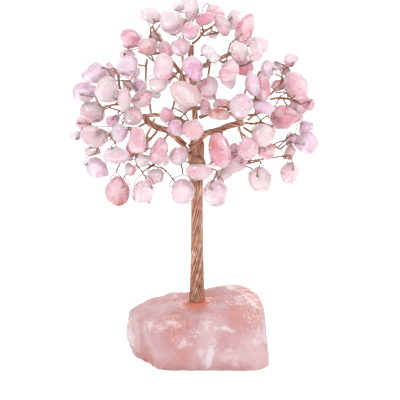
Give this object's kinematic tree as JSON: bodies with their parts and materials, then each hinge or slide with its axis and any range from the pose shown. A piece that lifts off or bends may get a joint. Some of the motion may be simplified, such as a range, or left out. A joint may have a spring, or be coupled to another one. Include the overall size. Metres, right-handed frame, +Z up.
{
  "type": "gemstone tree ornament",
  "caption": "Small ornamental tree of twisted copper wire with tumbled rose quartz chips on its twigs, standing in a rough rose quartz base.",
  "frame": {"origin": "on the flat underside of the base, straight below the trunk", "axes": "+Z up along the trunk, +X to the right as seen from the front, +Y away from the viewer"},
  "size_m": [0.1076, 0.0651, 0.1616],
  "materials": {
    "tumbled_rose_quartz": "tumbled, glossy",
    "rough_rose_quartz": "broken, uneven gloss",
    "copper_wire": "bright drawn wire",
    "clear_glue": "cured, clear"
  },
  "bodies": {
    "tree": {"base_stone": "rough_rose_quartz", "leader": "copper_wire", "limb_back_left": "copper_wire", "limb_back_right": "copper_wire", "limb_top_right": "copper_wire", "limb_upper_left": "copper_wire", "limb_upper_right": "copper_wire", "socket_glue": "clear_glue", "stones_back_left": "tumbled_rose_quartz", "stones_back_right": "tumbled_rose_quartz", "stones_front": "tumbled_rose_quartz", "stones_leader": "tumbled_rose_quartz", "stones_top_right": "tumbled_rose_quartz", "stones_upper_left": "tumbled_rose_quartz", "stones_upper_right": "tumbled_rose_quartz", "trunk": "copper_wire", "twigs_back_left": "copper_wire", "twigs_back_right": "copper_wire", "twigs_front": "copper_wire", "twigs_leader": "copper_wire", "twigs_top_right": "copper_wire", "twigs_upper_left": "copper_wire", "twigs_upper_right": "copper_wire", "wires_back_left": "copper_wire", "wires_back_right": "copper_wire", "wires_front": "copper_wire", "wires_leader": "copper_wire", "wires_top_right": "copper_wire", "wires_upper_left": "copper_wire", "wires_upper_right": "copper_wire"},
    "left_branch": {"limb_left": "copper_wire", "stones_left": "tumbled_rose_quartz", "twigs_left": "copper_wire", "wires_left": "copper_wire"},
    "right_branch": {"limb_right": "copper_wire", "stones_right": "tumbled_rose_quartz", "twigs_right": "copper_wire", "wires_right": "copper_wire"},
    "hanging_wedge_left": {"stone_wedge_left": "tumbled_rose_quartz"},
    "hanging_egg_left": {"stone_egg_left": "tumbled_rose_quartz"},
    "hanging_oval_left": {"stone_oval_left": "tumbled_rose_quartz"},
    "hanging_diamond_front": {"stone_diamond_front": "tumbled_rose_quartz"},
    "hanging_oval_front": {"stone_oval_front": "tumbled_rose_quartz"},
    "hanging_oval_right": {"stone_oval_right": "tumbled_rose_quartz"},
    "hanging_wedge_right": {"stone_wedge_right": "tumbled_rose_quartz"}
  },
  "joints": [
    {"name": "left_branch_bend", "type": "hinge", "parent": "tree", "child": "left_branch", "pos_m": [-0.0053, 0, 0.09586], "axis": [0, -1, 0], "range_deg": [0, 8]},
    {"name": "right_branch_bend", "type": "hinge", "parent": "tree", "child": "right_branch", "pos_m": [-0.00313, -0.0053, 0.09586], "axis": [0, 1, 0], "range_deg": [0, 8]},
    {"name": "wedge_left_swing", "type": "hinge", "parent": "left_branch", "child": "hanging_wedge_left", "pos_m": [-0.04318, -0.00399, 0.08867], "axis": [-0.8737, -0.4865, 0], "range_deg": [-25, 25]},
    {"name": "egg_left_swing", "type": "hinge", "parent": "left_branch", "child": "hanging_egg_left", "pos_m": [-0.03431, -0.01176, 0.08043], "axis": [0.5811, -0.8139, 0], "range_deg": [-25, 25]},
    {"name": "oval_left_swing", "type": "hinge", "parent": "left_branch", "child": "hanging_oval_left", "pos_m": [-0.02309, -0.01859, 0.08151], "axis": [0.9034, -0.4289, 0], "range_deg": [-25, 25]},
    {"name": "diamond_front_swing", "type": "hinge", "parent": "tree", "child": "hanging_diamond_front", "pos_m": [-0.00612, -0.01353, 0.08045], "axis": [0.9917, 0.1283, 0], "range_deg": [-25, 25]},
    {"name": "oval_front_swing", "type": "hinge", "parent": "tree", "child": "hanging_oval_front", "pos_m": [0.0085, -0.01672, 0.08061], "axis": [0.5211, 0.8535, 0], "range_deg": [-25, 25]},
    {"name": "oval_right_swing", "type": "hinge", "parent": "right_branch", "child": "hanging_oval_right", "pos_m": [0.02729, -0.01145, 0.08522], "axis": [0.3354, 0.9421, 0], "range_deg": [-25, 25]},
    {"name": "wedge_right_swing", "type": "hinge", "parent": "right_branch", "child": "hanging_wedge_right", "pos_m": [0.04034, -0.00417, 0.08657], "axis": [-0.2287, 0.9735, 0], "range_deg": [-25, 25]}
  ]
}
